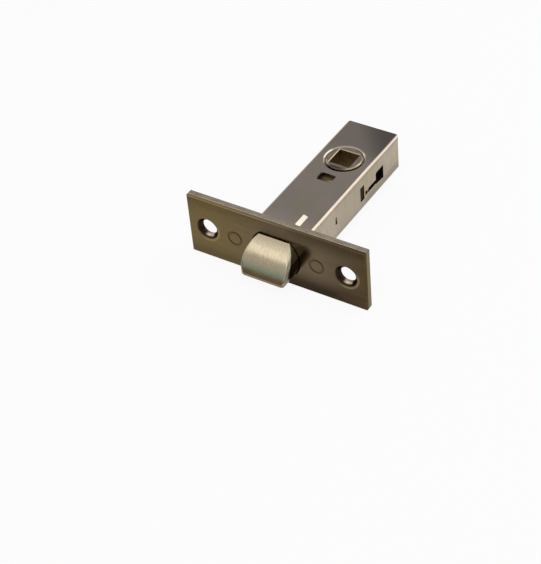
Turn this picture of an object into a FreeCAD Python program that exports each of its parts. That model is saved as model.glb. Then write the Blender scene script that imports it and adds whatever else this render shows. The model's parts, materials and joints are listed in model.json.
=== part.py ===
import FreeCAD, Part
import math
import os

# Tubular mortice latch, in millimetres.
# X runs along the face plates, Y from the door edge into the door, Z along the spindle.
# The origin is the middle of the base plate's back face, which seats on the door edge.

# Face plates
PLATE_LENGTH = 70.0
PLATE_HEIGHT = 24.5
FRONT_THICKNESS = 1.2
BASE_THICKNESS = 2.0
FRONT_BEVEL = 0.3
SEAM_BEVEL = 0.15
SCREW_SPACING = 55.0
SCREW_HOLE_RADIUS = 3.0
COUNTERSINK_RADIUS = 4.3
DIMPLE_DEPTH = 2.2
DIMPLE_WALL = 0.7
DIMPLE_GAP = 0.25
STAMP_OFFSET = 16.2
STAMP_RADIUS = 2.9
STAMP_LINE = 0.5
STAMP_DEPTH = 0.12

# Case, a box folded from one sheet
CASE_WIDTH = 21.4
CASE_HEIGHT = 14.4
CASE_REACH = 65.0
CASE_WALL = 0.7
CASE_BEND = 1.5
CASE_SEAM = 0.2
CASE_SEAT_GAP = 0.02
RIB_WIDTH = 1.6
RIB_LENGTH = 5.8
RIB_HEIGHT = 0.6
RIB_X = 4.4
RIB_Y = 7.6
WINDOW_WIDTH = 6.0
WINDOW_LENGTH = 4.2
WINDOW_X = -0.4
WINDOW_Y = 32.1
WINDOW_CORNER = 0.8
HUB_HOLE_BEVEL_WIDTH = 0.55
HUB_HOLE_BEVEL_DEPTH = 0.3
TAB_Y = 19.5
TAB_Z = 0.95
TAB_HEIGHT = 2.9
TAB_THICKNESS = 0.5
TAB_REACH = 0.9
TAB_SLIT = 0.35
TRACK_LEAD = 4.6
TRACK_Z = -1.35
TRACK_HEIGHT = 1.7
ENTRY_SETBACK = 3.0
ENTRY_LENGTH = 5.4
ENTRY_TOP = 2.4
ENTRY_BOTTOM = -3.0
ENTRY_SLANT = 0.5

# Bolt
BOLT_CASE_GAP = 0.5
BOLT_ROUND_Z = -1.0
BOLT_TOP_GAP = 0.4
BOLT_UNDER_GAP = 0.1
BOLT_EDGE = 1.4
BOLT_SHOULDER = 0.8
BOLT_TAIL_LENGTH = 3.7
TAB_PASS_GAP = 0.6
OPENING_SIDE_GAP = 0.3
OPENING_TOP_GAP = 0.9
OPENING_UNDER_GAP = 0.4
THROW = 9.1
NOSE_START = 0.15
NOSE_RADIUS = 21.5
NOSE_TIP_RADIUS = 1.5
NOSE_REACH = 9.55
STEM_RADIUS = 1.75
STEM_SEAT = 3.0
STEM_HEAD_RADIUS = 2.3
STEM_HEAD_LENGTH = 1.0
WASHER_RADIUS = 2.7
WASHER_THICKNESS = 0.8
WASHER_FIT = 0.05

# Springs
BOLT_SPRING_RADIUS = 3.3
BOLT_SPRING_WIRE = 0.7
BOLT_SPRING_TURNS = 11
BOLT_SPRING_POCKET = 8.0
RETURN_SPRING_RADIUS = 4.2
RETURN_SPRING_WIRE = 1.0
RETURN_SPRING_TURNS = 10
SPRING_SIDE_GAP = 0.5
SPRING_END_GAP = 0.02

# Slide, folded from one strip
SLIDE_FRONT = 14.0
SLIDE_THICKNESS = 1.2
SLIDE_SIDE_GAP = 0.5
SLIDE_TOP_GAP = 0.4
SLIDE_BEND = 1.0
STEM_HOLE_GAP = 0.2
NIB_HEIGHT = 1.3
NIB_REACH = 0.35

# Hub
HUB_Y = 44.2
SPINDLE_SQUARE = 8.1
SPINDLE_BEVEL = 0.25
JOURNAL_RADIUS = 6.6
JOURNAL_GAP = 0.4
JOURNAL_RISE = 0.35
JOURNAL_BEVEL = 0.4
SHOULDER_STEP = 0.7
SHOULDER_GAP = 0.2
EAR_START_ANGLE = 59.5
EAR_WALL_GAP = 0.3
EAR_TIP_RADIUS = 1.0
EAR_THICKNESS = 1.6
EAR_FLOOR_GAP = 0.4
EAR_LUG_GAP = 0.35

# Spring bridge, a bar whose back is hollowed to clear the hub
BRIDGE_THICKNESS = 1.2
BRIDGE_LUG_HEIGHT = 5.9
BRIDGE_LUG_LENGTH = 2.6
BRIDGE_LUG_STEP = 0.75
BRIDGE_SEAT_HEIGHT = 8.4
BRIDGE_SEAT_WIDTH = 9.0
BRIDGE_HUB_GAP = 0.2
BRIDGE_SLOT_GAP = 0.05
BRIDGE_RECESS = 0.35
RUNNING_GAP = 0.3

# Sizes that follow from the ones above
FACE_Y = -BASE_THICKNESS - FRONT_THICKNESS
CASE_START = -BASE_THICKNESS
DIMPLE_ROOT = COUNTERSINK_RADIUS - FRONT_THICKNESS + DIMPLE_WALL * math.sqrt(2)
BASE_HOLE_RADIUS = DIMPLE_ROOT + DIMPLE_GAP
INNER_X = CASE_WIDTH / 2 - CASE_WALL
INNER_Z = CASE_HEIGHT / 2 - CASE_WALL
TAIL_HALF = INNER_X - TAB_REACH - TAB_PASS_GAP
TRACK_START = HUB_Y - TRACK_LEAD
ENTRY_START = HUB_Y + ENTRY_SETBACK
ENTRY_END = ENTRY_START + ENTRY_LENGTH
BOLT_RADIUS = INNER_X - BOLT_CASE_GAP
BOLT_TOP = INNER_Z - BOLT_TOP_GAP
BOLT_BOTTOM = -INNER_Z + BOLT_UNDER_GAP
SLIDE_HALF = INNER_X - SLIDE_SIDE_GAP
EAR_CENTRE_RADIUS = INNER_X - EAR_WALL_GAP - EAR_TIP_RADIUS
NOSE_TIP_Y = FACE_Y - NOSE_REACH
SHOULDER_RADIUS = JOURNAL_RADIUS + SHOULDER_STEP
FORK_HALF = SHOULDER_RADIUS + RUNNING_GAP
SLIDE_TOP = INNER_Z - SLIDE_TOP_GAP
SLIDE_UNDER = SLIDE_TOP - SLIDE_THICKNESS
WEB_BACK = SLIDE_FRONT + SLIDE_THICKNESS
POCKET_FLOOR = BOLT_SHOULDER + BOLT_TAIL_LENGTH - BOLT_SPRING_POCKET
BRIDGE_BACK = HUB_Y - SHOULDER_RADIUS - BRIDGE_HUB_GAP
BRIDGE_FRONT = BRIDGE_BACK - BRIDGE_THICKNESS
BRIDGE_LUG_START = BRIDGE_FRONT + BRIDGE_LUG_STEP
BRIDGE_LUG_END = BRIDGE_LUG_START + BRIDGE_LUG_LENGTH
WASHER_START = WEB_BACK + SPRING_END_GAP
STEM_END = WASHER_START + WASHER_THICKNESS + STEM_HEAD_LENGTH

AXIS_X = FreeCAD.Vector(1, 0, 0)
AXIS_Y = FreeCAD.Vector(0, 1, 0)
AXIS_Z = FreeCAD.Vector(0, 0, 1)


def vec(x, y, z):
    """A point or direction."""
    return FreeCAD.Vector(x, y, z)


def block(low, high):
    """A box between two opposite corners."""
    size = vec(*high) - vec(*low)
    return Part.makeBox(size.x, size.y, size.z, vec(*low))


def edges_along(shape, axis):
    """The straight edges of a shape that run along an axis."""
    found = []
    for edge in shape.Edges:
        straight = isinstance(edge.Curve, (Part.Line, Part.LineSegment))
        if straight and abs(edge.tangentAt(edge.FirstParameter).dot(axis)) > 0.999:
            found.append(edge)
    return found


def rounded_block(low, high, axis, radius):
    """A box whose four edges along an axis are rounded."""
    box = block(low, high)
    return box.makeFillet(radius, edges_along(box, axis))


def rod(radius, start, end, x=0.0, z=0.0):
    """A cylinder along Y."""
    return Part.makeCylinder(radius, end - start, vec(x, start, z), AXIS_Y)


def post(radius, low, high, x=0.0, y=0.0):
    """A cylinder along Z."""
    return Part.makeCylinder(radius, high - low, vec(x, y, low), AXIS_Z)


def bolt_section(start, end, grow_side=0.0, grow_top=0.0, grow_under=0.0):
    """The bolt's bar, round at the sides and flat above and below, grown by clearances."""
    radius = BOLT_RADIUS + grow_side
    low = (-radius, start, BOLT_BOTTOM - grow_under)
    high = (radius, end, BOLT_TOP + grow_top)
    return rod(radius, start, end, 0, BOLT_ROUND_Z).common(block(low, high))


def both_sides(shape):
    """A shape and its mirror image across the middle plane of the case."""
    return [shape, shape.mirror(vec(0, 0, 0), AXIS_X)]


def screw_places():
    """X of the two screws."""
    return (-SCREW_SPACING / 2, SCREW_SPACING / 2)


def screw_dimples():
    """The pressed collars under the cover plate's screw holes."""
    collar_radius = SCREW_HOLE_RADIUS + DIMPLE_WALL
    slope = DIMPLE_ROOT - collar_radius
    collars = []
    for x in screw_places():
        root = vec(x, CASE_START, 0)
        cone = Part.makeCone(DIMPLE_ROOT, collar_radius, slope, root, AXIS_Y)
        collars.append(cone.fuse(rod(collar_radius, CASE_START - 0.5, FACE_Y + DIMPLE_DEPTH, x)))
    return collars


def screw_holes():
    """Cutters for the two countersunk screw holes."""
    cutters = []
    depth = COUNTERSINK_RADIUS - SCREW_HOLE_RADIUS
    for x in screw_places():
        cutters.append(rod(SCREW_HOLE_RADIUS, FACE_Y - 1, 1, x))
        cone = Part.makeCone(COUNTERSINK_RADIUS, SCREW_HOLE_RADIUS, depth, vec(x, FACE_Y, 0), AXIS_Y)
        cutters.append(cone)
    return cutters


def stamped_rings():
    """Cutters for the two plain rings stamped in the cover plate."""
    cutters = []
    for x in (-STAMP_OFFSET, STAMP_OFFSET):
        outer = rod(STAMP_RADIUS, FACE_Y - 1, FACE_Y + STAMP_DEPTH, x)
        inner = rod(STAMP_RADIUS - STAMP_LINE, FACE_Y - 2, FACE_Y + 1, x)
        cutters.append(outer.cut(inner))
    return cutters


def bevelled_plate(start, end, bevelled_y, bevel):
    """A face plate with a bevel round one of its faces."""
    half_x = PLATE_LENGTH / 2
    half_z = PLATE_HEIGHT / 2
    plate = block((-half_x, start, -half_z), (half_x, end, half_z))
    rim = []
    for edge in plate.Edges:
        if edge.BoundBox.YLength < 0.001 and abs(edge.BoundBox.YMin - bevelled_y) < 0.001:
            rim.append(edge)
    return plate.makeChamfer(bevel, rim)


def front_plate():
    """Cover plate: dimpled screw holes, stamped rings and the bolt's opening."""
    plate = bevelled_plate(FACE_Y, CASE_START, FACE_Y, FRONT_BEVEL).fuse(screw_dimples())
    opening = bolt_section(FACE_Y - 1, 1, OPENING_SIDE_GAP, OPENING_TOP_GAP, OPENING_UNDER_GAP)
    return plate.cut([opening] + screw_holes() + stamped_rings()).removeSplitter()


def case_outline(inset, start, reach):
    """The folded box as a solid, shrunk by an inset on every side but the front."""
    half_x = CASE_WIDTH / 2 - inset
    half_z = CASE_HEIGHT / 2 - inset
    bend = CASE_BEND - inset
    tube = rounded_block((-half_x, start, -half_z), (half_x, reach, half_z), AXIS_Y, bend)
    margin = CASE_BEND + 1
    plan = rounded_block((-half_x, start - margin, -half_z), (half_x, reach, half_z), AXIS_Z, bend)
    return tube.common(plan)


def base_plate():
    """Steel plate that the case is staked into, under the cover plate."""
    plate = bevelled_plate(CASE_START, 0, CASE_START, SEAM_BEVEL)
    seat = case_outline(-CASE_SEAT_GAP, CASE_START - 1, CASE_REACH)
    holes = [rod(BASE_HOLE_RADIUS, CASE_START - 1, 1, x) for x in screw_places()]
    return plate.cut([seat] + holes)


def top_rib():
    """The rib half sheared up from the case top, high on one side, and its hollow."""
    left = RIB_X - RIB_WIDTH / 2
    right = RIB_X + RIB_WIDTH / 2
    start = RIB_Y - RIB_LENGTH / 2
    wedges = []
    for base in (CASE_HEIGHT / 2, INNER_Z):
        corners = [
            vec(left, start, base - 0.1),
            vec(left, start, base + RIB_HEIGHT),
            vec(right, start, base),
            vec(right, start, base - 0.1),
        ]
        section = Part.Face(Part.makePolygon(corners + corners[:1]))
        wedges.append(section.extrude(AXIS_Y * RIB_LENGTH))
    return wedges


def side_track():
    """Cutter for the slide's track in a side wall, which widens into its entry opening."""
    inner = INNER_X - 0.2
    outer = CASE_WIDTH / 2 + 1
    half = TRACK_HEIGHT / 2
    track = block((inner, TRACK_START, TRACK_Z - half), (outer, ENTRY_START + 0.5, TRACK_Z + half))
    corners = [
        vec(inner, ENTRY_START, ENTRY_TOP - ENTRY_SLANT),
        vec(inner, ENTRY_START + ENTRY_SLANT, ENTRY_TOP),
        vec(inner, ENTRY_END, ENTRY_TOP),
        vec(inner, ENTRY_END, ENTRY_BOTTOM),
        vec(inner, ENTRY_START + ENTRY_SLANT, ENTRY_BOTTOM + ENTRY_SLANT),
        vec(inner, ENTRY_START, ENTRY_BOTTOM + ENTRY_SLANT),
    ]
    entry = Part.Face(Part.makePolygon(corners + corners[:1])).extrude(vec(outer - inner, 0, 0))
    return track.fuse(entry)


def bridge_slot():
    """Cutter for the upright slot in a side wall that holds the spring bridge."""
    half = BRIDGE_LUG_HEIGHT / 2 + BRIDGE_SLOT_GAP
    low = (INNER_X - 0.2, BRIDGE_LUG_START - BRIDGE_SLOT_GAP, -half)
    high = (CASE_WIDTH / 2 + 1, BRIDGE_LUG_END + BRIDGE_SLOT_GAP, half)
    return block(low, high)


def hub_hole():
    """Cutter for the hub's hole through the case, with its coined bevels outside."""
    radius = JOURNAL_RADIUS + JOURNAL_GAP
    top = CASE_HEIGHT / 2
    rim = radius + HUB_HOLE_BEVEL_WIDTH
    floor = top - HUB_HOLE_BEVEL_DEPTH
    upper = Part.makeCone(radius, rim, HUB_HOLE_BEVEL_DEPTH, vec(0, HUB_Y, floor), AXIS_Z)
    lower = Part.makeCone(rim, radius, HUB_HOLE_BEVEL_DEPTH, vec(0, HUB_Y, -top), AXIS_Z)
    return [post(radius, -CASE_HEIGHT, CASE_HEIGHT, 0, HUB_Y), upper, lower]


def lanced_tab():
    """A tab pressed in from a side wall, and the slit that it leaves."""
    half = TAB_HEIGHT / 2
    half_y = TAB_THICKNESS / 2
    wall_middle = INNER_X + CASE_WALL / 2
    tab_low = (INNER_X - TAB_REACH, TAB_Y - half_y, TAB_Z - half)
    tab = block(tab_low, (wall_middle, TAB_Y + half_y, TAB_Z + half))
    slit_low = (wall_middle, TAB_Y - half_y - TAB_SLIT, TAB_Z - half)
    slit = block(slit_low, (CASE_WIDTH / 2 + 1, TAB_Y + half_y + TAB_SLIT, TAB_Z + half))
    return tab, slit


def case_seams():
    """Cutters for the seam under the box and for the three open edges of its end flap."""
    half = CASE_SEAM / 2
    below = -CASE_HEIGHT / 2 - 1
    floor = block((-half, CASE_START - 1, below), (half, CASE_REACH + 1, -INNER_Z + 0.2))
    end_inner = CASE_REACH - CASE_WALL - 0.2
    end_outer = CASE_REACH + 1
    right = INNER_X
    left = -INNER_X
    upper = block((left, end_inner, INNER_Z - CASE_SEAM), (right, end_outer, INNER_Z))
    lower = block((left, end_inner, -INNER_Z), (right, end_outer, -INNER_Z + CASE_SEAM))
    side = block((left, end_inner, -INNER_Z), (left + CASE_SEAM, end_outer, INNER_Z))
    return [floor, upper, lower, side]


def case():
    """Folded sheet box with hub holes, window, tracks, slots and tabs."""
    outer = case_outline(0, CASE_START, CASE_REACH)
    rib, rib_hollow = top_rib()
    outer = outer.fuse(rib)
    hollow = case_outline(CASE_WALL, CASE_START - 1, CASE_REACH - CASE_WALL)
    window_low = (WINDOW_X - WINDOW_WIDTH / 2, WINDOW_Y - WINDOW_LENGTH / 2, 0)
    window_high = (WINDOW_X + WINDOW_WIDTH / 2, WINDOW_Y + WINDOW_LENGTH / 2, CASE_HEIGHT)
    window = rounded_block(window_low, window_high, AXIS_Z, WINDOW_CORNER)
    tab, slit = lanced_tab()
    cutters = [hollow, rib_hollow, window] + hub_hole()
    cutters += both_sides(side_track()) + both_sides(bridge_slot()) + case_seams()
    shell = outer.cut(cutters)
    shell = shell.fuse(both_sides(tab))
    return shell.cut(both_sides(slit))


def nose_profile():
    """Outline of the bolt in the YZ plane: one long arc down to a small round tip."""
    back = BOLT_SHOULDER + 1
    top = vec(0, FACE_Y - NOSE_START, BOLT_TOP)
    tip_centre = vec(0, NOSE_TIP_Y + NOSE_TIP_RADIUS, BOLT_BOTTOM + NOSE_TIP_RADIUS)
    chord = tip_centre - top
    inner_radius = NOSE_RADIUS - NOSE_TIP_RADIUS
    along = (NOSE_RADIUS**2 - inner_radius**2 + chord.Length**2) / (2 * chord.Length)
    across = math.sqrt(NOSE_RADIUS**2 - along**2)
    unit = chord * (1 / chord.Length)
    centre = top + unit * along + vec(0, -unit.z, unit.y) * across
    to_tip = (tip_centre - centre).normalize()
    to_top = (top - centre).normalize()
    join = centre + to_tip * NOSE_RADIUS
    middle = centre + (to_tip + to_top).normalize() * NOSE_RADIUS
    under = tip_centre - vec(0, 0, NOSE_TIP_RADIUS)
    tip_middle = tip_centre + (to_tip - AXIS_Z).normalize() * NOSE_TIP_RADIUS
    edges = [
        Part.Arc(top, middle, join).toShape(),
        Part.Arc(join, tip_middle, under).toShape(),
        Part.makeLine(under, vec(0, back, BOLT_BOTTOM)),
        Part.makeLine(vec(0, back, BOLT_BOTTOM), vec(0, back, BOLT_TOP)),
        Part.makeLine(vec(0, back, BOLT_TOP), top),
    ]
    return Part.Face(Part.Wire(edges))


def soften_nose(head):
    """Rounds the rim between the curved nose and the bolt's sides."""
    rim = []
    for edge in head.Edges:
        box = edge.BoundBox
        ahead = box.YMin < FACE_Y - NOSE_START - 0.5
        on_side = abs(edge.valueAt((edge.FirstParameter + edge.LastParameter) / 2).x) > 1
        if ahead and on_side and box.YLength > 1:
            rim.append(edge)
    return head.makeFillet(BOLT_EDGE, rim)


def bolt_head():
    """Latch bolt: curved nose, round sides, narrower tail with the spring pocket."""
    bar = bolt_section(NOSE_TIP_Y - 1, BOLT_SHOULDER)
    nose = nose_profile().extrude(vec(2 * BOLT_RADIUS + 2, 0, 0))
    nose.translate(vec(-BOLT_RADIUS - 1, 0, 0))
    head = soften_nose(bar.common(nose))
    tail_back = BOLT_SHOULDER + BOLT_TAIL_LENGTH
    tail_bar = bolt_section(BOLT_SHOULDER - 0.5, tail_back)
    tail_slab = block((-TAIL_HALF, 0, BOLT_BOTTOM), (TAIL_HALF, tail_back, BOLT_TOP))
    head = head.fuse(tail_bar.common(tail_slab)).removeSplitter()
    pocket = rod(BOLT_SPRING_RADIUS + SPRING_SIDE_GAP, POCKET_FLOOR, tail_back + 1)
    stem_seat = rod(STEM_RADIUS, POCKET_FLOOR - STEM_SEAT, POCKET_FLOOR + 1)
    return head.cut([pocket, stem_seat])


def bolt_stem():
    """Rod pressed into the bolt head, with its far end riveted over the washer."""
    shank = rod(STEM_RADIUS, POCKET_FLOOR - STEM_SEAT, STEM_END)
    head = rod(STEM_HEAD_RADIUS, STEM_END - STEM_HEAD_LENGTH, STEM_END)
    rim = [e for e in head.Edges if e.BoundBox.YMin > STEM_END - 0.001]
    return shank.fuse(head.makeFillet(STEM_HEAD_LENGTH * 0.5, rim)).removeSplitter()


def stem_washer():
    """Plain washer under the riveted end of the stem."""
    end = WASHER_START + WASHER_THICKNESS
    disc = rod(WASHER_RADIUS, WASHER_START, end)
    return disc.cut(rod(STEM_RADIUS + WASHER_FIT, WASHER_START - 1, end + 1))


def coil_spring(outer_radius, wire, turns, start, end):
    """A compression spring along Y between two seats."""
    mean = outer_radius - wire / 2
    length = end - start - wire - 2 * SPRING_END_GAP
    pitch = length / turns
    path = Part.Wire(Part.makeHelix(pitch, length, mean).Edges)
    rise = vec(0, 2 * math.pi * mean, pitch)
    section = Part.Wire([Part.makeCircle(wire / 2, vec(mean, 0, 0), rise)])
    spring = path.makePipeShell([section], True, True)
    spring.rotate(vec(0, 0, 0), AXIS_X, -90)
    spring.translate(vec(0, start + wire / 2 + SPRING_END_GAP, 0))
    return spring


def bolt_spring():
    """Spring that pushes the bolt out of the slide."""
    return coil_spring(BOLT_SPRING_RADIUS, BOLT_SPRING_WIRE, BOLT_SPRING_TURNS, POCKET_FLOOR, SLIDE_FRONT)


def return_spring():
    """Spring that pushes the slide, and with it the hub, back to rest."""
    return coil_spring(
        RETURN_SPRING_RADIUS, RETURN_SPRING_WIRE, RETURN_SPRING_TURNS, WEB_BACK, BRIDGE_FRONT
    )


def lug_front():
    """Y of the slide's lugs, clear of the hub's ears at rest by the ear's gap."""
    angle = math.radians(EAR_START_ANGLE)
    flank = (EAR_TIP_RADIUS - FORK_HALF * math.cos(angle)) / math.sin(angle)
    return HUB_Y + flank + EAR_LUG_GAP


def slide():
    """Folded strip: web on the bolt's stem, flat back, fork round the hub and two lugs."""
    half = SLIDE_HALF
    lug_start = lug_front()
    lug_end = lug_start + SLIDE_THICKNESS
    strip = block((-half, SLIDE_FRONT, SLIDE_UNDER), (half, lug_end, SLIDE_TOP))
    web = block((-TAIL_HALF, SLIDE_FRONT, -SLIDE_TOP), (TAIL_HALF, WEB_BACK, SLIDE_TOP))
    lugs = both_sides(block((FORK_HALF, lug_start, -SLIDE_TOP), (half, lug_end, SLIDE_TOP)))
    nib_half = NIB_HEIGHT / 2
    nib_low = (FORK_HALF, lug_start, TRACK_Z - nib_half)
    nibs = both_sides(block(nib_low, (INNER_X + NIB_REACH, lug_end, TRACK_Z + nib_half)))
    body = strip.fuse([web] + lugs + nibs).removeSplitter()
    outer_bends = []
    for edge in edges_along(body, AXIS_X):
        box = edge.BoundBox
        at_end = min(abs(box.YMin - SLIDE_FRONT), abs(box.YMin - lug_end)) < 0.001
        if at_end and abs(box.ZMin - SLIDE_TOP) < 0.001:
            outer_bends.append(edge)
    body = body.makeFillet(SLIDE_BEND, outer_bends)
    fork_root = HUB_Y - SHOULDER_RADIUS - THROW - RUNNING_GAP
    fork_low = (-FORK_HALF, fork_root, SLIDE_UNDER - 1)
    fork = rounded_block(fork_low, (FORK_HALF, HUB_Y + CASE_WIDTH, SLIDE_TOP + 1), AXIS_Z, 2)
    stem_hole = rod(STEM_RADIUS + STEM_HOLE_GAP, SLIDE_FRONT - 1, WEB_BACK + 1)
    return body.cut([fork, stem_hole])


def hub_ear(side):
    """One ear of the hub, a parallel arm with a round tip."""
    angle = math.radians(EAR_START_ANGLE)
    low = -INNER_Z + EAR_FLOOR_GAP
    arm = block((0, -EAR_TIP_RADIUS, low), (EAR_CENTRE_RADIUS, EAR_TIP_RADIUS, low + EAR_THICKNESS))
    ear = arm.fuse(post(EAR_TIP_RADIUS, low, low + EAR_THICKNESS, EAR_CENTRE_RADIUS))
    turn = math.degrees(math.atan2(-math.cos(angle), side * math.sin(angle)))
    ear.rotate(vec(0, 0, 0), AXIS_Z, turn)
    ear.translate(vec(0, HUB_Y, 0))
    return ear


def hub():
    """Follower: journals in the case, square spindle hole and two ears."""
    reach = CASE_HEIGHT / 2 + JOURNAL_RISE
    shoulder = INNER_Z - SHOULDER_GAP
    journal = post(JOURNAL_RADIUS, -reach, reach, 0, HUB_Y)
    rims = [e for e in journal.Edges if isinstance(e.Curve, Part.Circle)]
    journal = journal.makeChamfer(JOURNAL_BEVEL, rims)
    body = post(SHOULDER_RADIUS, -shoulder, shoulder, 0, HUB_Y)
    body = body.fuse([journal, hub_ear(-1), hub_ear(1)]).removeSplitter()
    half = SPINDLE_SQUARE / 2
    square = block((-half, HUB_Y - half, -reach - 1), (half, HUB_Y + half, reach + 1))
    body = body.cut(square)
    mouth = [e for e in body.Edges if abs(e.BoundBox.Center.z) > reach - 0.001 and e.Length < 3 * half]
    return body.makeChamfer(SPINDLE_BEVEL, mouth)


def spring_bridge():
    """Cross bar with lugs in the side slots, a seat for the return spring and a hollow back."""
    lug_x = CASE_WIDTH / 2 - BRIDGE_RECESS
    bar_x = INNER_X - RUNNING_GAP
    half_z = BRIDGE_LUG_HEIGHT / 2
    seat_x = BRIDGE_SEAT_WIDTH / 2
    seat_z = BRIDGE_SEAT_HEIGHT / 2
    bar = block((-bar_x, BRIDGE_FRONT, -half_z), (bar_x, BRIDGE_LUG_END, half_z))
    lugs = block((-lug_x, BRIDGE_LUG_START, -half_z), (lug_x, BRIDGE_LUG_END, half_z))
    seat = rounded_block((-seat_x, BRIDGE_FRONT, -seat_z), (seat_x, BRIDGE_BACK, seat_z), AXIS_Y, 1)
    clearance = post(SHOULDER_RADIUS + BRIDGE_HUB_GAP, -CASE_HEIGHT, CASE_HEIGHT, 0, HUB_Y)
    return bar.fuse([lugs, seat]).cut(clearance).removeSplitter()


PIECES = {
    "front_plate": front_plate,
    "base_plate": base_plate,
    "case": case,
    "bolt_head": bolt_head,
    "bolt_stem": bolt_stem,
    "stem_washer": stem_washer,
    "bolt_spring": bolt_spring,
    "return_spring": return_spring,
    "slide": slide,
    "spring_bridge": spring_bridge,
    "hub": hub,
}


def main():
    """Builds every piece and writes it to its own file."""
    os.makedirs("parts", exist_ok=True)
    for name, build in PIECES.items():
        shape = build()
        solids = shape.Solids
        print(name, "solids", len(solids), "valid", shape.isValid(), "volume", round(shape.Volume, 2))
        piece = solids[0] if len(solids) == 1 else Part.makeCompound(solids)
        piece.exportStep("parts/" + name + ".step")
    print("lug front", round(lug_front(), 3), "spring seats", WEB_BACK, round(BRIDGE_FRONT, 3))


main()
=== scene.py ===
"""Looks of a tubular mortice latch: finishes, wound springs and a plain studio round its fixed frame.

Everything is in metres in the latch's own frame: X along the face plates, Y into the door,
Z along the spindle. Sizes in the classes are in millimetres, as a maker would write them.
"""

import json
import logging
import math
from dataclasses import dataclass, field
from enum import Enum, IntEnum
from typing import Any, Mapping, Optional, Sequence, Union

import bpy
import numpy as np
from mathutils import Matrix, Vector

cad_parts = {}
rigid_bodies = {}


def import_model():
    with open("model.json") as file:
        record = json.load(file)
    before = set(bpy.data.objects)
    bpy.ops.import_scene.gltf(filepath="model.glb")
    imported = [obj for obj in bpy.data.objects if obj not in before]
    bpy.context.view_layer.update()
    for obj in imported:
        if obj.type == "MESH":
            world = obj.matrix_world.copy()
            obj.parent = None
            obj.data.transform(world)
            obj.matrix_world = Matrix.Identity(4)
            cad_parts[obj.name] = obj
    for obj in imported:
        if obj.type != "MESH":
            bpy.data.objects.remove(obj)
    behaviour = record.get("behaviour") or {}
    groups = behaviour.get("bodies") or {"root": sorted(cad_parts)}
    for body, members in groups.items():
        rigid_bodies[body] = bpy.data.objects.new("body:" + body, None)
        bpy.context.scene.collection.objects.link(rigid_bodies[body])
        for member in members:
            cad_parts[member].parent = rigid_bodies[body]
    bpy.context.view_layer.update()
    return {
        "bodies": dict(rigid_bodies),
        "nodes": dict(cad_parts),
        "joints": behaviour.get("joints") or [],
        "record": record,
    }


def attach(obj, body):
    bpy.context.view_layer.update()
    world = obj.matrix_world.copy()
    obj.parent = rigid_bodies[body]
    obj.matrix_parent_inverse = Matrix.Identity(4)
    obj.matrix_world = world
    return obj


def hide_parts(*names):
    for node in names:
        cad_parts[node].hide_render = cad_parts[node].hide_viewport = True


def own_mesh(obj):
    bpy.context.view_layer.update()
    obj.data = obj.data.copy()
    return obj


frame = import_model()

LOG = logging.getLogger("latch")
MM = 0.001
IMAGE_SIZE = (541, 564)

# Noise of every grain: how much its finer octaves weigh, and the way along which a seed shifts it.
NOISE_ROUGHNESS = 0.55
SEED_WAY = (1.0, 0.7, 1.3)

Socket = bpy.types.NodeSocket
Tree = bpy.types.NodeTree


class Slot(Enum):
    """A material slot of the record; the new pieces don't take their finish from it."""

    SPRING_STEEL = "spring_steel"


class Body(Enum):
    """Bodies of the latch that a new piece can ride on."""

    CASE = "case_body"
    SLIDE = "slide"


class MixInput(IntEnum):
    """Inputs of a mix node, whose names repeat from one kind of value to the next."""

    SHARE = 0
    NUMBER_BELOW = 2
    NUMBER_ABOVE = 3
    COLOUR_BELOW = 6
    COLOUR_ABOVE = 7


MIX_COLOUR_OUTPUT = 2


def linear(code: str) -> tuple[float, float, float, float]:
    """Turns an sRGB hex colour into linear light.

    Args:
        code: six hex digits after a hash sign.

    Returns:
        Red, green, blue and an alpha of one.
    """
    parts = [int(code[i:i + 2], 16) / 255 for i in (1, 3, 5)]
    light = [p / 12.92 if p <= 0.04045 else ((p + 0.055) / 1.055) ** 2.4 for p in parts]
    return (light[0], light[1], light[2], 1.0)


def add_node(
    tree: Tree,
    kind: str,
    settings: Optional[Mapping[str, Any]] = None,
    inputs: Optional[Mapping[Union[str, int], Any]] = None,
) -> bpy.types.Node:
    """Adds one shader node with its settings, values and links.

    Args:
        tree: node tree that gets the node.
        kind: Blender's name of the node type.
        settings: attributes to set on the node.
        inputs: for each input, by name or index, a value or the socket that feeds it.

    Returns:
        The new node.
    """
    node = tree.nodes.new(kind)
    for name, value in (settings or {}).items():
        setattr(node, name, value)
    for name, value in (inputs or {}).items():
        if isinstance(value, Socket):
            tree.links.new(value, node.inputs[name])
        else:
            node.inputs[name].default_value = value
    return node


@dataclass(frozen=True)
class Grain:
    """A noise pattern with a real size along each axis.

    Attributes:
        size: length of one mark along X, Y and Z, in mm.
        detail: octaves of finer noise.
        low: noise value that becomes 0.
        high: noise value that becomes 1.
        seed: shift of the pattern, in marks.
    """

    size: tuple[float, float, float]
    detail: float = 2.0
    low: float = 0.35
    high: float = 0.65
    seed: float = 0.0

    def share(self, tree: Tree, point: Socket) -> Socket:
        """Gives the pattern as a share from 0 to 1.

        Args:
            tree: node tree that gets the nodes.
            point: object coordinates in metres.

        Returns:
            The socket that holds the share.
        """
        scale = [1 / (length * MM) for length in self.size]
        shift = [self.seed * share for share in SEED_WAY]
        spread = add_node(
            tree, "ShaderNodeMapping", None, {"Vector": point, "Scale": scale, "Location": shift}
        )
        noise = add_node(
            tree, "ShaderNodeTexNoise", None,
            {
                "Vector": spread.outputs[0],
                "Scale": 1.0,
                "Detail": self.detail,
                "Roughness": NOISE_ROUGHNESS,
            },
        )
        ranged = add_node(
            tree, "ShaderNodeMapRange", {"interpolation_type": "SMOOTHSTEP"},
            {"Value": noise.outputs[0], "From Min": self.low, "From Max": self.high},
        )
        return ranged.outputs[0]


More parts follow.
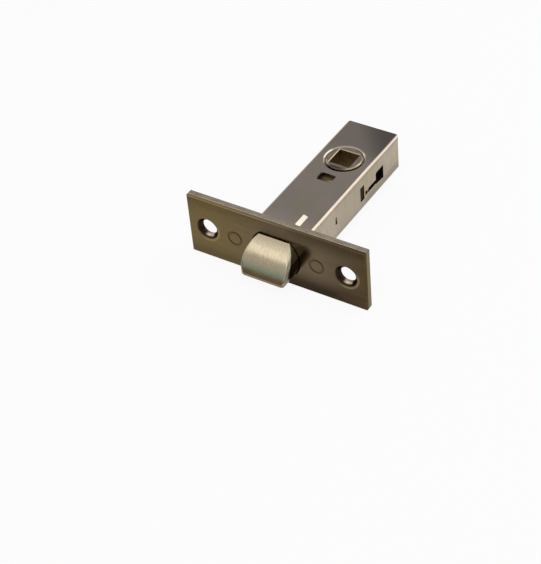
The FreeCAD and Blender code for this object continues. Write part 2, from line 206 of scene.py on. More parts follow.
@dataclass(frozen=True)
class Fade:
    """A soft step across a place in the object, from 0 to 1 along a direction.

    Attributes:
        start: point where the share is 0, in mm.
        end: point where the share is 1, in mm.
    """

    start: tuple[float, float, float]
    end: tuple[float, float, float]

    def share(self, tree: Tree, point: Socket) -> Socket:
        """Gives the step as the point's place along the line from start to end, smoothed.

        Args:
            tree: node tree that gets the nodes.
            point: object coordinates in metres.

        Returns:
            The socket that holds the share.
        """
        begin = Vector(self.start) * MM
        run = Vector(self.end) * MM - begin
        axis = run / run.length_squared
        along = add_node(
            tree, "ShaderNodeVectorMath", {"operation": "DOT_PRODUCT"},
            {0: point, 1: axis},
        )
        offset = axis.dot(begin)
        ranged = add_node(
            tree, "ShaderNodeMapRange", {"interpolation_type": "SMOOTHSTEP"},
            {"Value": along.outputs["Value"], "From Min": offset, "From Max": offset + 1},
        )
        return ranged.outputs[0]


@dataclass(frozen=True)
class Ring:
    """A soft band round an axis along Y, such as a screw hole's.

    Attributes:
        centre: place of the axis along X, in mm.
        inner: radius where the band begins, in mm; 0 fills it to the middle.
        outer: radius where the band ends, in mm.
        soft: width of its soft edges in mm.
    """

    centre: float
    inner: float
    outer: float
    soft: float

    def share(self, tree: Tree, point: Socket) -> Socket:
        """Gives the band as 1 between the two radii, falling to 0 over its soft edges.

        Args:
            tree: node tree that gets the nodes.
            point: object coordinates in metres.

        Returns:
            The socket that holds the share.
        """
        moved = add_node(
            tree, "ShaderNodeVectorMath", {"operation": "SUBTRACT"},
            {0: point, 1: (self.centre * MM, 0, 0)},
        )
        flat = add_node(
            tree, "ShaderNodeVectorMath", {"operation": "MULTIPLY"}, {0: moved.outputs[0], 1: (1, 0, 1)}
        )
        radius = add_node(tree, "ShaderNodeVectorMath", {"operation": "LENGTH"}, {0: flat.outputs[0]})
        sides = []
        for start, end in (
            (self.inner - self.soft, self.inner),
            (self.outer + self.soft, self.outer),
        ):
            ranged = add_node(
                tree, "ShaderNodeMapRange", {"interpolation_type": "SMOOTHSTEP"},
                {"Value": radius.outputs["Value"], "From Min": start * MM, "From Max": end * MM},
            )
            sides.append(ranged.outputs[0])
        band = add_node(tree, "ShaderNodeMath", {"operation": "MULTIPLY"}, {0: sides[0], 1: sides[1]})
        return band.outputs[0]


Pattern = Union[Grain, Fade, Ring]


@dataclass(frozen=True)
class Layer:
    """One colour laid over those below it, where a pattern lets it show.

    Attributes:
        colour: sRGB hex colour of the layer.
        where: pattern of the layer.
        amount: share of the layer where the pattern is full.
        within: further patterns that limit the first.
    """

    colour: str
    where: Pattern
    amount: float
    within: tuple[Pattern, ...] = ()

    def over(self, tree: Tree, point: Socket, below: Union[Socket, Sequence[float]]) -> Socket:
        """Mixes the layer over a colour.

        Args:
            tree: node tree that gets the nodes.
            point: object coordinates in metres.
            below: colour or socket under the layer.

        Returns:
            The mixed colour's socket.
        """
        share = self.where.share(tree, point)
        for pattern in self.within:
            limit = pattern.share(tree, point)
            both = add_node(tree, "ShaderNodeMath", {"operation": "MULTIPLY"}, {0: share, 1: limit})
            share = both.outputs[0]
        scaled = add_node(
            tree, "ShaderNodeMath", {"operation": "MULTIPLY"}, {0: share, 1: self.amount}
        )
        mixed = add_node(
            tree, "ShaderNodeMix", {"data_type": "RGBA"},
            {
                MixInput.SHARE: scaled.outputs[0],
                MixInput.COLOUR_BELOW: below,
                MixInput.COLOUR_ABOVE: linear(self.colour),
            },
        )
        return mixed.outputs[MIX_COLOUR_OUTPUT]


@dataclass(frozen=True)
class Metal:
    """A metal finish: colour layers, roughness that varies, and a fine relief.

    Attributes:
        name: name of the material.
        base: sRGB hex colour of the metal or its plating.
        layers: colours over the base, lowest first.
        polish: pattern of smoother and rougher places.
        smooth: roughness where the pattern is 0.
        rough: roughness where the pattern is 1.
        relief: pattern of the surface's fine marks.
        depth: height of the marks in mm.
        recesses: places that keep their dull coat.
        dull: roughness there.
        edge: sRGB colour of the shine at a grazing view; white is a clean bare metal's.
        metallic: share of bare metal in the finish; a film over it takes the rest.
        shine: reflection of that film, from 0, matt, to 0.5, a plain clear coat's.
    """

    name: str
    base: str
    layers: tuple[Layer, ...]
    polish: Grain
    smooth: float
    rough: float
    relief: Grain
    depth: float
    recesses: tuple[Pattern, ...] = ()
    dull: float = 0.4
    edge: str = "#ffffff"
    metallic: float = 1.0
    shine: float = 0.5

    def build(self) -> bpy.types.Material:
        """Makes the material from object coordinates.

        Returns:
            The finished material.
        """
        material = bpy.data.materials.new(self.name)
        material.use_nodes = True
        tree = material.node_tree
        tree.nodes.clear()
        point = add_node(tree, "ShaderNodeTexCoord").outputs["Object"]
        colour: Union[Socket, Sequence[float]] = linear(self.base)
        for layer in self.layers:
            colour = layer.over(tree, point, colour)
        gloss = add_node(
            tree, "ShaderNodeMapRange", None,
            {"Value": self.polish.share(tree, point), "To Min": self.smooth, "To Max": self.rough},
        )
        for recess in self.recesses:
            gloss = add_node(
                tree, "ShaderNodeMix", {"data_type": "FLOAT"},
                {
                    MixInput.SHARE: recess.share(tree, point),
                    MixInput.NUMBER_BELOW: gloss.outputs[0],
                    MixInput.NUMBER_ABOVE: self.dull,
                },
            )
        bump = add_node(
            tree, "ShaderNodeBump", None,
            {"Height": self.relief.share(tree, point), "Distance": self.depth * MM, "Strength": 1.0},
        )
        surface = add_node(
            tree, "ShaderNodeBsdfPrincipled", None,
            {
                "Base Color": colour,
                "Metallic": self.metallic,
                "Specular IOR Level": self.shine,
                "Specular Tint": linear(self.edge),
                "Roughness": gloss.outputs[0],
                "Normal": bump.outputs[0],
            },
        )
        add_node(tree, "ShaderNodeOutputMaterial", None, {"Surface": surface.outputs[0]})
        return material


# Places on the latch that its finishes follow, in mm: the screw holes and the stamped rings
# along X, and the top and the right side of the case.
SCREWS_X = (-27.5, 27.5)
STAMPS_X = (-16.2, 16.2)
SIDES = (-1, 1)
CASE_TOP = Fade((0, 0, 6.9), (0, 0, 7.15))
CASE_RIGHT = Fade((9.6, 0, 0), (10.4, 0, 0))

# What an oxide, a plating or a dull cast skin leaves of a metal's shine at a grazing view.
GRAZING_GREY = "#cbcbc7"


def both_ends(colour: str, start: float, end: float, amount: float) -> tuple[Layer, ...]:
    """Lays one colour over both ends of a piece whose middle is at X = 0.

    Args:
        colour: sRGB hex colour of the layer.
        start: distance from the middle where the layer begins, in mm.
        end: distance from the middle where it is full, in mm.
        amount: share of the layer there.

    Returns:
        One layer for each end.
    """
    ends = (Fade((side * start, 0, 0), (side * end, 0, 0)) for side in SIDES)
    return tuple(Layer(colour, where, amount) for where in ends)


# Antique bronzed brass: dark brown oxide brushed lengthwise, so that the yellow metal
# comes through in long fine lines, while the recesses keep their dark coat. Lighter lines along
# the upper edge and round the screws are painted highlights, and painted shade and reflections
# darken the face beside and below the bolt. The oxide takes the shine off at a grazing view. The
# brush lines are drawn about a millimetre wide, coarser than real ones, so that they show.
BRONZED_BRASS = Metal(
    name="bronzed_brass",
    base="#685a47",
    layers=(
        # Painted reflection and shade: yellower to the left, darker to the right, a painted shadow low
        # down beside the bolt, and painted shade along the upper edge right of the bolt and the lower
        # edge at the left
        Layer("#71613f", Fade((2, 0, 0), (-26, 0, 0)), 0.90),
        Layer("#4a3c28", Fade((14, 0, 0), (36, 0, 0)), 0.85),
        Layer("#261d17", Fade((0, 0, -2.5), (0, 0, -11)), 0.90,
              (Fade((-8, 0, 0), (4, 0, 0)), Fade((44, 0, 0), (20, 0, 0)))),
        Layer("#463a2b", Fade((0, 0, 5), (0, 0, 10)), 0.45, (Fade((2, 0, 0), (14, 0, 0)),)),
        Layer("#463b2c", Fade((0, 0, -5), (0, 0, -11)), 0.50, (Fade((-6, 0, 0), (-16, 0, 0)),)),
        # Cut ends, then a painted highlight along the back of the upper edge and painted shade on the
        # bevel before it
        *both_ends("#4f3f26", 34.6, 34.8, 0.95),
        Layer("#a8966f", Fade((0, -2.95, 0), (0, -2.80, 0)), 0.80,
              (Fade((0, 0, 12.1), (0, 0, 12.22)), Fade((50, 0, 0), (-20, 0, 0)))),
        Layer("#3e3424", Fade((0, -2.85, 0), (0, -3.0, 0)), 0.85,
              (Fade((0, 0, 11.85), (0, 0, 12.0)), Fade((-8, 0, 0), (12, 0, 0)))),
        # Brush lines
        Layer("#7a6c4a", Grain((18, 4, 1.4), 3, 0.45, 0.8, 3), 0.20),
        Layer("#473a2d", Grain((15, 4, 1.1), 3, 0.5, 0.85, 8), 0.22),
        # Screw holes: a painted highlight as a lighter crescent at their lower right, a dark
        # countersink, and a painted glint low in it
        *(Layer("#978a63", Ring(x, 4.5, 4.9, 0.5), 0.45, (Fade((x, 0, 0), (x + 2.4, 0, -2.4)),))
          for x in SCREWS_X),
        *(Layer("#251b16", Ring(x, 0, 3.9, 0.6), 0.94) for x in SCREWS_X),
        *(Layer("#dcc6ae", Ring(x, 3.0, 3.4, 0.4), 0.80,
                (Fade((x - 0.4, 0, -1.6), (x + 0.5, 0, -2.6)), Fade((x + 2.2, 0, 0), (x + 1.2, 0, 0))))
          for x in SCREWS_X),
        # Stamped rings
        *(Layer("#3f3226", Ring(x, 2.2, 2.9, 0.25), 0.45) for x in STAMPS_X),
    ),
    polish=Grain((12, 3, 2), 2, 0.3, 0.7, 1),
    smooth=0.17,
    rough=0.24,
    relief=Grain((16, 1, 0.6), 2, 0.2, 0.8, 5),
    depth=0.0008,
    recesses=tuple(Ring(x, 0, 4.2, 0.3) for x in SCREWS_X),
    dull=0.34,
    edge=GRAZING_GREY,
)

# Plain steel strip, zinc plated after cropping: its cut edges keep short streaks, and the
# bronze of the cover has run over its two ends.
PLAIN_STEEL = Metal(
    name="plain_steel",
    base="#bfb096",
    layers=(
        Layer("#8f826c", Grain((3.4, 1.2, 3.4), 3, 0.35, 0.85, 2), 0.70),
        Layer("#d6c6ac", Grain((5, 1.2, 5), 2, 0.45, 0.85, 6), 0.35),
        *both_ends("#7d7056", 34.80, 34.95, 0.90),
    ),
    polish=Grain((1.5, 0.4, 1.5), 2, 0.3, 0.7, 4),
    smooth=0.22,
    rough=0.34,
    relief=Grain((1.0, 0.3, 1.0), 2, 0.2, 0.8, 7),
    depth=0.004,
    edge=GRAZING_GREY,
)

# Bright rolled steel sheet: nearly mirror smooth, with cloudy patches of faint colour, painted
# shade along the lower edge of its sides and on its top towards the tail, and a painted lighter
# reflection on its top by the plates.
ROLLED_SHEET = Metal(
    name="rolled_sheet",
    base="#ad9f8d",
    layers=(
        # Faint clouds all over, and upright ones on the right side
        Layer("#a29b7c", Grain((9, 13, 7), 2, 0.45, 0.7, 2), 0.45),
        Layer("#a5968f", Grain((10, 15, 8), 2, 0.5, 0.75, 9), 0.40),
        Layer("#8f7f7a", Grain((6, 1.8, 5), 3, 0.42, 0.66, 4), 0.34, (CASE_RIGHT,)),
        # Painted reflection: the top lighter by the plates; the right side yellower along its middle
        Layer("#c4b39b", Fade((0, 12, 0), (0, 2, 0)), 0.60, (CASE_TOP,)),
        Layer("#958669", Fade((0, 14, 0), (0, 26, 0)), 0.45, (Fade((0, 56, 0), (0, 46, 0)), CASE_RIGHT)),
        # Painted shade on the sides low down, deeper from the slots to the tail
        Layer("#857a6a", Fade((0, 0, -3.0), (0, 0, -6.6)), 0.65),
        Layer("#6b6354", Fade((0, 0, -1.8), (0, 0, -4.2)), 0.60, (Fade((0, 36, 0), (0, 44, 0)),)),
        Layer("#958669", Fade((0, 0, 2), (0, 0, -1)), 0.35, (Fade((0, 40, 0), (0, 50, 0)),)),
        # Painted shade on the top towards the tail, most in its right corner
        Layer("#645c52", Fade((0, 44, 0), (0, 54, 0)), 0.30, (CASE_TOP,)),
        Layer("#5d554c", Fade((-1, 54, 0), (8, 61, 0)), 0.75, (CASE_TOP,)),
    ),
    polish=Grain((9, 14, 9), 2, 0.3, 0.7, 5),
    smooth=0.12,
    rough=0.18,
    relief=Grain((4, 14, 4), 1, 0.2, 0.8, 3),
    depth=0.002,
)

# Phosphated steel: a thin matt coat, pale and brownish, with painted shade in dark brown at the
# two ends, where they sit in the case's slots.
PHOSPHATED_STEEL = Metal(
    name="phosphated_steel",
    base="#d6c096",
    layers=(
        Layer("#b09870", Grain((1.5, 1.5, 1.5), 2, 0.4, 0.7, 3), 0.60),
        # Painted shade on both ends, where they sit in the case's slots
        *both_ends("#43362a", 8.0, 8.6, 1.0),
    ),
    polish=Grain((1.5, 1.5, 1.5), 2, 0.3, 0.7, 6),
    smooth=0.38,
    rough=0.52,
    relief=Grain((0.4, 0.4, 0.4), 2, 0.2, 0.8, 1),
    depth=0.006,
    edge=GRAZING_GREY,
    metallic=0.25,
    shine=0.0,
)

# Satin nickel over a sintered bolt: soft gloss, yellowish, with fine brush marks down its curve,
# painted shade by the plate, low down and on its two sides, and a painted reflection along its
# rims. The brush marks are drawn a few times coarser than real ones, so that they show.
SATIN_NICKEL = Metal(
    name="satin_nickel",
    base="#c9bda3",
    layers=(
        # Patches and brush marks
        Layer("#b8aa8c", Grain((7, 4, 4), 2, 0.45, 0.75, 1), 0.30),
        Layer("#9c8f76", Grain((0.45, 1.4, 1.4), 3, 0.40, 0.66, 5), 0.24),
        # Painted shade: duller by the plate and in the lower half, brown under the tip
        Layer("#a89a80", Fade((0, -6, 4.4), (0, -3.4, 6.1)), 0.60),
        Layer("#a3947a", Fade((0, 0, 1.0), (0, 0, -3.0)), 0.55),
        Layer("#756853", Fade((0, 0, -4.3), (0, 0, -4.9)), 0.80),
        # Painted reflection along the rims, painted shade on the sides
        *both_ends("#6f7166", 8.1, 8.8, 0.75),
        *both_ends("#3f3327", 9.15, 9.3, 0.95),
    ),
    polish=Grain((6, 4, 4), 2, 0.3, 0.7, 2),
    smooth=0.19,
    rough=0.24,
    relief=Grain((1.6, 0.6, 0.6), 2, 0.2, 0.8, 4),
    depth=0.0012,
    edge=GRAZING_GREY,
)

# Cast zinc left as it came from the die, dulled and a little yellow.
CAST_ZINC = Metal(
    name="cast_zinc",
    base="#a3937b",
    layers=(
        Layer("#7f6e58", Grain((3.5, 3.5, 3.5), 2, 0.40, 0.75, 1), 0.45),
        Layer("#bcab91", Grain((2.6, 2.6, 2.6), 2, 0.5, 0.8, 6), 0.30),
        # Darker towards the front
        Layer("#3f362b", Fade((0, 39.6, 0), (0, 38.2, 0)), 0.90),
    ),
    polish=Grain((1.5, 1.5, 1.5), 2, 0.3, 0.7, 3),
    smooth=0.26,
    rough=0.38,
    relief=Grain((0.6, 0.6, 0.6), 2, 0.2, 0.8, 5),
    depth=0.006,
    edge=GRAZING_GREY,
)

# Yellow passivated steel: zinc under a thin iridescent film, gold with rosy clouds.
PASSIVATED_STEEL = Metal(
    name="passivated_steel",
    base="#8f7b4c",
    layers=(
        Layer("#85624f", Grain((4, 4, 4), 2, 0.45, 0.7, 4), 0.45),
        Layer("#6f6c46", Grain((3, 5, 3), 2, 0.5, 0.75, 8), 0.35),
    ),
    polish=Grain((3, 3, 3), 2, 0.3, 0.7, 2),
    smooth=0.40,
    rough=0.52,
    relief=Grain((0.6, 5, 0.6), 2, 0.2, 0.8, 3),
    depth=0.003,
)

# Drawn spring wire with the same yellow film, dulled by it so that light spreads over it.
SPRING_WIRE = Metal(
    name="spring_wire",
    base="#e0c48c",
    layers=(
        Layer("#d8aa9c", Grain((2, 2, 2), 2, 0.45, 0.7, 2), 0.50),
        Layer("#a08a5e", Grain((1.5, 1.5, 1.5), 2, 0.5, 0.8, 5), 0.30),
    ),
    polish=Grain((1.5, 1.5, 1.5), 2, 0.3, 0.7, 1),
    smooth=0.42,
    rough=0.55,
    relief=Grain((0.5, 0.5, 0.5), 2, 0.2, 0.8, 6),
    depth=0.002,
    metallic=0.5,
)


def dress(thing: bpy.types.Object, material: bpy.types.Material) -> None:
    """Gives every material slot of an object one finish.

    Args:
        thing: object to dress.
        material: finish to give it.
    """
    if not thing.material_slots:
        thing.data.materials.append(material)
    for place in thing.material_slots:
        place.material = material


def grid_faces(rows: int, columns: int) -> np.ndarray:
    """Gives the quads of a tube's grid, whose columns close on themselves.

    Args:
        rows: rings along the tube.
        columns: points round each ring.

    Returns:
        One row of four vertex numbers for each quad.
    """
    row, column = np.meshgrid(np.arange(rows - 1), np.arange(columns), indexing="ij")
    after = (column + 1) % columns
    corners = (
        row * columns + column,
        (row + 1) * columns + column,
        (row + 1) * columns + after,
        row * columns + after,
    )
    return np.stack(corners, axis=-1).reshape(-1, 4)


def cap_faces(first: int, columns: int, centre: int, flip: bool) -> np.ndarray:
    """Gives the triangles that close one ring to a point at its middle.

    Args:
        first: number of the ring's first vertex.
        columns: points round the ring.
        centre: number of the middle vertex.
        flip: whether the triangles turn the other way.

    Returns:
        One row of three vertex numbers for each triangle.
    """
    near = first + np.arange(columns)
    far = first + (np.arange(columns) + 1) % columns
    pair = (far, near) if flip else (near, far)
    return np.stack((pair[0], pair[1], np.full(columns, centre)), axis=-1)


def make_piece(name: str, points: np.ndarray, faces: list[list[int]]) -> bpy.types.Object:
    """Makes a smooth mesh object at the origin.

    Args:
        name: name of the piece.
        points: vertices in metres.
        faces: vertex numbers of each face.

    Returns:
        The new object, linked to the scene.
    """
    mesh = bpy.data.meshes.new(name)
    mesh.from_pydata(points.tolist(), [], faces)
    mesh.polygons.foreach_set("use_smooth", np.ones(len(mesh.polygons), dtype=bool))
    mesh.update()
    piece = bpy.data.objects.new(name, mesh)
    bpy.context.scene.collection.objects.link(piece)
    return piece


@dataclass
class CoilSpring:
    """A compression spring wound along Y, with closed ends ground flat.

    Attributes:
        name: name of the piece and of the plain solid that it stands for.
        radius: outer radius in mm.
        wire: wire diameter in mm.
        turns: all turns, closed ones among them.
        start: Y of the end nearer the face plates, in mm.
        end: Y of the end nearer the hub, in mm.
        body: body that carries the spring's fixed end.
        joint: joint that shortens the spring; not used.
        fixed: Y of the end that stays on its body, in mm; not used.
        travel: how far the spring shortens at the joint's limit, in mm; not used.
        closed: turns at each end that lie shut.
        clearance: gap between each end and its seat, in mm.
        shut_pitch: pitch of the closed turns, in wire diameters.
        easing_start: share of the closed turns after which the pitch begins to grow.
        easing: turns over which it grows.
        ground: wire left between its axis and the ground end, in wire diameters.
        steps_per_turn: rings of the mesh in one turn.
        ring: points round the wire.
    """

    name: str
    radius: float
    wire: float
    turns: float
    start: float
    end: float
    body: Body
    joint: str
    fixed: float
    travel: float
    closed: float = 1.0
    clearance: float = 0.02
    shut_pitch: float = 1.02
    easing_start: float = 0.75
    easing: float = 0.5
    ground: float = 0.25
    steps_per_turn: int = 40
    ring: int = 14

    def centre_line(self) -> tuple[np.ndarray, np.ndarray]:
        """Works out the wire's angle and height.

        The pitch is about one wire diameter in the closed turns and rises to the open
        turns' pitch by a smooth step over half a turn. The height is the pitch added up
        along the angle, and the open turns' pitch is what takes the axis from end to end.

        Returns:
            Angles in radians and heights in mm.
        """
        count = int(self.turns * self.steps_per_turn) + 1
        turn = np.linspace(0.0, self.turns, count)
        inner = np.minimum(turn, self.turns - turn)
        step = np.clip((inner - self.closed * self.easing_start) / self.easing, 0.0, 1.0)
        opening = step * step * (3 - 2 * step)
        low = self.start + self.clearance + self.wire * self.ground
        high = self.end - self.clearance - self.wire * self.ground
        shut = self.wire * self.shut_pitch
        per_turn = 1.0 / self.steps_per_turn
        open_sum = float(np.sum(0.5 * (opening[1:] + opening[:-1])) * per_turn)
        lead = (high - low - shut * self.turns) / open_sum
        pitch = shut + lead * opening
        rise = np.concatenate(([0.0], np.cumsum(0.5 * (pitch[1:] + pitch[:-1])) * per_turn))
        return turn * 2 * math.pi, low + rise

    def build(self) -> bpy.types.Object:
        """Carries the wire's circle along the centre line, and grinds both ends flat.

        A point of the surface is the centre plus the wire's radius times the cosine of its
        own angle outwards and the sine of it across. Grinding cuts every height to the
        planes of the two seats.

        Returns:
            The spring's object, riding on its body.
        """
        angle, height = self.centre_line()
        mean = self.radius - self.wire / 2
        outwards = np.stack((np.cos(angle), np.zeros_like(angle), np.sin(angle)), axis=-1)
        centre = outwards * mean + np.stack((0 * height, height, 0 * height), axis=-1)
        tangent = np.gradient(centre, axis=0)
        tangent /= np.linalg.norm(tangent, axis=1, keepdims=True)
        across = np.cross(tangent, outwards)
        around = np.linspace(0.0, 2 * math.pi, self.ring, endpoint=False)
        rim = (
            outwards[:, None, :] * np.cos(around)[None, :, None]
            + across[:, None, :] * np.sin(around)[None, :, None]
        )
        points = (centre[:, None, :] + rim * self.wire / 2).reshape(-1, 3)
        rings = len(angle)
        points = np.concatenate((points, centre[:1], centre[-1:]))
        low = self.start + self.clearance
        high = self.end - self.clearance
        points[:, 1] = np.clip(points[:, 1], low, high)
        faces = grid_faces(rings, self.ring).tolist()
        last = (rings - 1) * self.ring
        faces += cap_faces(0, self.ring, rings * self.ring, True).tolist()
        faces += cap_faces(last, self.ring, rings * self.ring + 1, False).tolist()
        piece = make_piece(self.name + "_coil", points * MM, faces)
        self.attach(piece)
        return piece

    def attach(self, piece: bpy.types.Object) -> None:
        """Hides the plain solid that the spring stands for and seats the spring on its body.

        Args:
            piece: the spring's object.
        """
        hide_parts(self.name)
        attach(piece, self.body.value)
        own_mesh(piece)


@dataclass
class Springs:
    """The two springs inside the case.

    Attributes:
        throw: travel of the slide and of the bolt, in mm.
        bolt_seats: Y of the bolt spring's seats, in the bolt and on the slide, in mm.
        return_seats: Y of the return spring's seats, on the slide and on the bridge, in mm.
    """

    throw: float = 9.1
    bolt_seats: tuple[float, float] = (-3.5, 14.0)
    return_seats: tuple[float, float] = (15.2, 35.5)

    def parts(self) -> tuple[CoilSpring, ...]:
        """Seats both springs as the frame's solids are.

        Returns:
            The bolt's spring and the slide's return spring.
        """
        pocket, slide_front = self.bolt_seats
        slide_back, bridge = self.return_seats
        return (
            CoilSpring(
                name="bolt_spring", radius=3.3, wire=0.7, turns=11, start=pocket, end=slide_front,
                body=Body.SLIDE, joint="bolt_push", fixed=slide_front, travel=self.throw,
            ),
            CoilSpring(
                name="return_spring", radius=4.2, wire=1.0, turns=10, start=slide_back, end=bridge,
                body=Body.CASE, joint="slide_draw", fixed=bridge, travel=self.throw,
            ),
        )

    def build(self) -> list[bpy.types.Object]:
        """Winds both springs and dresses them.

        Returns:
            The springs' objects.
        """
        wire = SPRING_WIRE.build()
        pieces = []
        for part in self.parts():
            piece = part.build()
            dress(piece, wire)
            LOG.info("%s: %d faces", piece.name, len(piece.data.polygons))
            pieces.append(piece)
        return pieces


@dataclass
class DressedNodes:
    """Pieces of the frame that keep their shape and get one finish.

    Attributes:
        nodes: names of the frame's pieces.
        finish: finish that they share.
    """

    nodes: tuple[str, ...]
    finish: Metal

    def build(self, frame: Mapping[str, Any]) -> None:
        """Gives the finish to every named piece.

        Args:
            frame: the loaded frame.
        """
        material = self.finish.build()
        for name in self.nodes:
            dress(frame["nodes"][name], material)
            LOG.info("%s: %s", name, self.finish.name)


@dataclass
class FacePlates:
    """The bronzed cover plate and the plain steel plate behind it.

    Attributes:
        cover: the cover plate and its finish.
        base: the base plate and its finish.
    """

    cover: DressedNodes = field(default_factory=lambda: DressedNodes(("front_plate",), BRONZED_BRASS))
    base: DressedNodes = field(default_factory=lambda: DressedNodes(("base_plate",), PLAIN_STEEL))

    def build(self, frame: Mapping[str, Any]) -> None:
        """Dresses both plates."""
        self.cover.build(frame)
        self.base.build(frame)


@dataclass
class CaseWorks:
    """The folded case and what moves or sits in it.

    Attributes:
        shell: the case and its finish.
        bridge: the bar that the return spring pushes on, and its finish.
        follower: the hub and its finish.
        yoke: the slide and its finish.
    """

    shell: DressedNodes = field(default_factory=lambda: DressedNodes(("case",), ROLLED_SHEET))
    bridge: DressedNodes = field(
        default_factory=lambda: DressedNodes(("spring_bridge",), PHOSPHATED_STEEL)
    )
    follower: DressedNodes = field(default_factory=lambda: DressedNodes(("hub",), CAST_ZINC))
    yoke: DressedNodes = field(default_factory=lambda: DressedNodes(("slide",), PASSIVATED_STEEL))

    def build(self, frame: Mapping[str, Any]) -> None:
        """Dresses the case, the bridge, the follower and the yoke."""
        for part in (self.shell, self.bridge, self.follower, self.yoke):
            part.build(frame)


@dataclass
class LatchBolt:
    """The bolt with its nose, and the stem and washer behind it.

    Attributes:
        head: the bolt and its finish.
        stem: the stem, the washer and the finish that they share.
    """

    head: DressedNodes = field(default_factory=lambda: DressedNodes(("bolt_head",), SATIN_NICKEL))
    stem: DressedNodes = field(
        default_factory=lambda: DressedNodes(("bolt_stem", "stem_washer"), PLAIN_STEEL)
    )

    def build(self, frame: Mapping[str, Any]) -> None:
        """Dresses the bolt and its stem."""
        self.head.build(frame)
        self.stem.build(frame)


@dataclass(frozen=True)
class Stand:
    """Where a lamp or a card stands round the latch, always turned to face it.

    Attributes:
        azimuth: bearing seen from the latch, in degrees from -Y towards +X.
        elevation: height above the horizon in degrees.
        distance: distance in metres.
        width: side across in metres.
        height: side up in metres.
    """

    azimuth: float
    elevation: float
    distance: float
    width: float
    height: float

    def matrix(self, aim: Vector) -> Matrix:
        """Places the stand on its bearing, with its own Z pointing away from the aim.

        Args:
            aim: point that the stand faces, in metres.

        Returns:
            The stand's place and turn.
        """
        turn, tilt = math.radians(self.azimuth), math.radians(self.elevation)
        way = Vector((math.sin(turn) * math.cos(tilt), -math.cos(turn) * math.cos(tilt), math.sin(tilt)))
        facing = way.to_track_quat("Z", "Y").to_matrix().to_4x4()
        return Matrix.Translation(aim + way * self.distance) @ facing


@dataclass(frozen=True)
class SoftLamp:
    """A rectangular soft lamp.

    Attributes:
        name: name of the lamp.
        stand: where it stands.
        glow: brightness of its face, where 1 is the white of the surroundings.
        colour: sRGB hex colour of its light.
    """

    name: str
    stand: Stand
    glow: float
    colour: str = "#ffffff"

    def build(self, aim: Vector) -> None:
        """Hangs the lamp, whose power is pi times its face's area and glow.

        Args:
            aim: point that the lamp faces, in metres.
        """
        data = bpy.data.lights.new(self.name, "AREA")
        data.shape = "RECTANGLE"
        data.size = self.stand.width
        data.size_y = self.stand.height
        data.energy = math.pi * self.stand.width * self.stand.height * self.glow
        data.color = linear(self.colour)[:3]
        lamp = bpy.data.objects.new(self.name, data)
        lamp.matrix_world = self.stand.matrix(aim)
        bpy.context.scene.collection.objects.link(lamp)


@dataclass(frozen=True)
class GreyCard:
    """A photographer's card, which only the metal's gloss shows, and which shades nothing.

    Attributes:
        name: name of the card.
        corners: its four corners in metres.
        colour: sRGB hex colour of the card as the metal mirrors it.
    """

    name: str
    corners: np.ndarray
    colour: str

    @classmethod
    def facing(cls, name: str, stand: Stand, aim: Vector, colour: str) -> "GreyCard":
        """Makes a card on a stand that faces the latch.

        Args:
            name: name of the card.
            stand: where it stands.
            aim: point that it faces, in metres.
            colour: sRGB hex colour.

        Returns:
            The card.
        """
        half_x, half_y = stand.width / 2, stand.height / 2
        place = stand.matrix(aim)
        flat = ((-half_x, -half_y), (half_x, -half_y), (half_x, half_y), (-half_x, half_y))
        return cls(name, np.array([place @ Vector((x, y, 0)) for x, y in flat]), colour)

    @classmethod
    def lying(cls, name: str, low: tuple[float, float], high: tuple[float, float], z: float,
              colour: str) -> "GreyCard":
        """Makes a card that lies on the floor.

        Args:
            name: name of the card.
            low: its lowest X and Y in mm.
            high: its highest X and Y in mm.
            z: its height in mm.
            colour: sRGB hex colour.

        Returns:
            The card.
        """
        flat = ((low[0], low[1]), (high[0], low[1]), (high[0], high[1]), (low[0], high[1]))
        return cls(name, np.array([(x, y, z) for x, y in flat]) * MM, colour)

    def build(self) -> None:
        """Sets the card up and hides it from all but reflections."""
        card = make_piece(self.name, self.corners, [[0, 1, 2, 3]])
        material = bpy.data.materials.new(self.name)
        material.use_nodes = True
        tree = material.node_tree
        tree.nodes.clear()
        shine = add_node(
            tree, "ShaderNodeEmission", None, {"Color": linear(self.colour), "Strength": 1.0}
        )
        add_node(tree, "ShaderNodeOutputMaterial", None, {"Surface": shine.outputs[0]})
        dress(card, material)
        card.visible_camera = False
        card.visible_diffuse = False
        card.visible_transmission = False
        card.visible_volume_scatter = False
        card.visible_shadow = False


